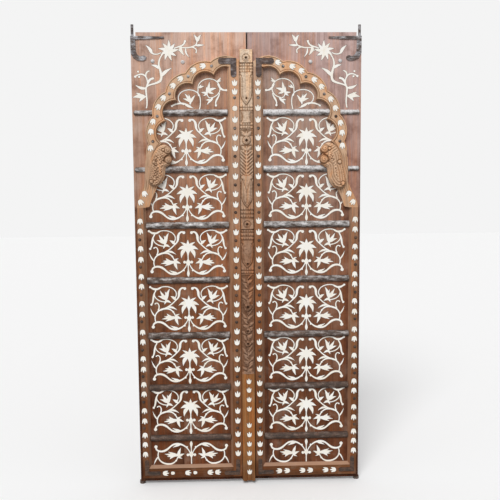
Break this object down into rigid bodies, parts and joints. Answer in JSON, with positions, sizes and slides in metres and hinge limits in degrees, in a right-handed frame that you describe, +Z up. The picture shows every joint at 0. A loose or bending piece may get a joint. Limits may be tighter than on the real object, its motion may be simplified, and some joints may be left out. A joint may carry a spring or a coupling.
{
  "type": "carved double door",
  "caption": "Two-leaf plank door with cusped arch frames, bird brackets, half-round iron bars, bone inlay and a carved cover strip, turning on pivot pins.",
  "frame": {"origin": "on the floor under the middle of the closed door, half way through its depth", "axes": "+Z up, +X to the right seen from the front, front faces -Y"},
  "size_m": [1.014, 0.104, 2.056],
  "materials": {
    "board_wood": "worn, matt",
    "frame_wood": "worn, matt",
    "carved_wood": "worn, matt",
    "iron": "hammered, worn bright on the crests",
    "bone": "bone, satin"
  },
  "bodies": {
    "sockets": {"left_socket": "iron", "right_socket": "iron"},
    "left_leaf": {"left_board_inner": "board_wood", "left_board_middle": "board_wood", "left_board_outer": "board_wood", "left_ledge_low": "board_wood", "left_ledge_middle": "board_wood", "left_ledge_top": "board_wood", "left_outer_stile": "frame_wood", "left_inner_stile": "frame_wood", "left_bottom_rail": "frame_wood", "left_arch": "carved_wood", "left_bracket": "carved_wood", "left_bar_1": "iron", "left_bar_2": "iron", "left_bar_3": "iron", "left_bar_4": "iron", "left_bar_5": "iron", "left_bar_6": "iron", "left_bar_7": "iron", "left_crown_plate": "iron", "left_corner_plate_outer": "iron", "left_corner_plate_inner": "iron", "left_top_strap": "iron", "left_foot_pivot": "iron", "left_studs": "iron", "left_panel_inlay": "bone", "left_frame_buds": "bone", "left_spandrel_inlay": "bone", "cover_strip": "carved_wood", "strip_splice": "carved_wood", "splice_buds": "bone"},
    "right_leaf": {"right_board_inner": "board_wood", "right_board_middle": "board_wood", "right_board_outer": "board_wood", "right_ledge_low": "board_wood", "right_ledge_middle": "board_wood", "right_ledge_top": "board_wood", "right_outer_stile": "frame_wood", "right_inner_stile": "frame_wood", "right_bottom_rail": "frame_wood", "right_arch": "carved_wood", "right_bracket": "carved_wood", "right_bar_1": "iron", "right_bar_2": "iron", "right_bar_3": "iron", "right_bar_4": "iron", "right_bar_5": "iron", "right_bar_6": "iron", "right_bar_7": "iron", "right_crown_plate": "iron", "right_corner_plate_outer": "iron", "right_corner_plate_inner": "iron", "right_top_strap": "iron", "right_foot_pivot": "iron", "right_studs": "iron", "right_panel_inlay": "bone", "right_frame_buds": "bone", "right_spandrel_inlay": "bone"}
  },
  "joints": [
    {"name": "right_pivot", "type": "hinge", "parent": "sockets", "child": "right_leaf", "pos_m": [0.494, 0.008, 0.013], "axis": [0, 0, -1], "range_deg": [0, 105]},
    {"name": "left_pivot", "type": "hinge", "parent": "sockets", "child": "left_leaf", "pos_m": [-0.494, 0.008, 0.013], "axis": [0, 0, 1], "range_deg": [0, 90]}
  ],
  "couplings": [
    {"joint": "left_pivot", "follows": "right_pivot", "ratio": 0.84}
  ]
}
